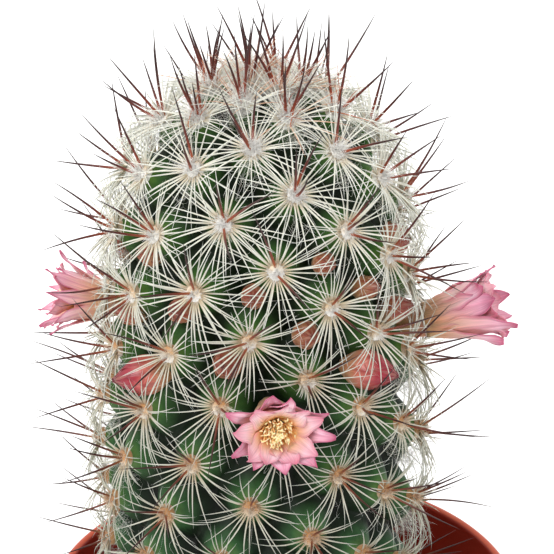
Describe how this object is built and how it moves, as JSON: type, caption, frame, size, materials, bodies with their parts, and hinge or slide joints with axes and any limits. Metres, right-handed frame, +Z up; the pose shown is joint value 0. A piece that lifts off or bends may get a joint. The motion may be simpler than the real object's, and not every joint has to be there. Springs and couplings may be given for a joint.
{
  "type": "potted round cactus",
  "caption": "Potted pincushion cactus: a domed, tubercled stem with spine rows, buds and pink flowers in a round nursery pot.",
  "frame": {"origin": "middle of the pot's flat base", "axes": "+Z up along the pot's axis; -Y is the side with the open front flower; +X is to the right seen from the front"},
  "size_m": [0.0683, 0.0651, 0.1399],
  "materials": {
    "terracotta_plastic": "thin moulded polypropylene, satin to glossy",
    "potting_soil": "matt peat and grit mix",
    "cactus_skin": "fleshy skin with a faint waxy sheen",
    "crown_spines": "red-brown horny spines from pale wool",
    "spines": "horny spines on woolly pads",
    "bud_skin": "smooth waxy bud scales",
    "flower_tube": "soft waxy floral tube",
    "petal": "satin petals",
    "stamen": "matt pollen",
    "pistil": "matt stigma"
  },
  "bodies": {
    "root": {"bud_01": "bud_skin", "bud_02": "bud_skin", "bud_03": "bud_skin", "bud_04": "bud_skin", "bud_05": "bud_skin", "bud_06": "bud_skin", "bud_07": "bud_skin", "bud_08": "bud_skin", "bud_09": "bud_skin", "bud_10": "bud_skin", "bud_11": "bud_skin", "bud_12": "bud_skin", "bud_13": "bud_skin", "bud_14": "bud_skin", "bud_15": "bud_skin", "bud_16": "bud_skin", "bud_17": "bud_skin", "bud_18": "bud_skin", "bud_19": "bud_skin", "bud_20": "bud_skin", "bud_21": "bud_skin", "bud_22": "bud_skin", "bud_23": "bud_skin", "crown_spines": "crown_spines", "flower_front_inner_petals": "petal", "flower_front_outer_petals": "petal", "flower_front_pistil": "pistil", "flower_front_stamens": "stamen", "flower_front_tube": "flower_tube", "flower_left_inner_petals": "petal", "flower_left_outer_petals": "petal", "flower_left_pistil": "pistil", "flower_left_stamens": "stamen", "flower_left_tube": "flower_tube", "flower_right_inner_petals": "petal", "flower_right_outer_petals": "petal", "flower_right_pistil": "pistil", "flower_right_stamens": "stamen", "flower_right_tube": "flower_tube", "pot": "terracotta_plastic", "potting_soil": "potting_soil", "spine_row_1": "spines", "spine_row_2": "spines", "spine_row_3": "spines", "spine_row_4": "spines", "spine_row_5": "spines", "spine_row_6": "spines", "spine_row_7": "spines", "spine_row_8": "spines", "stem": "cactus_skin"}
  },
  "joints": []
}
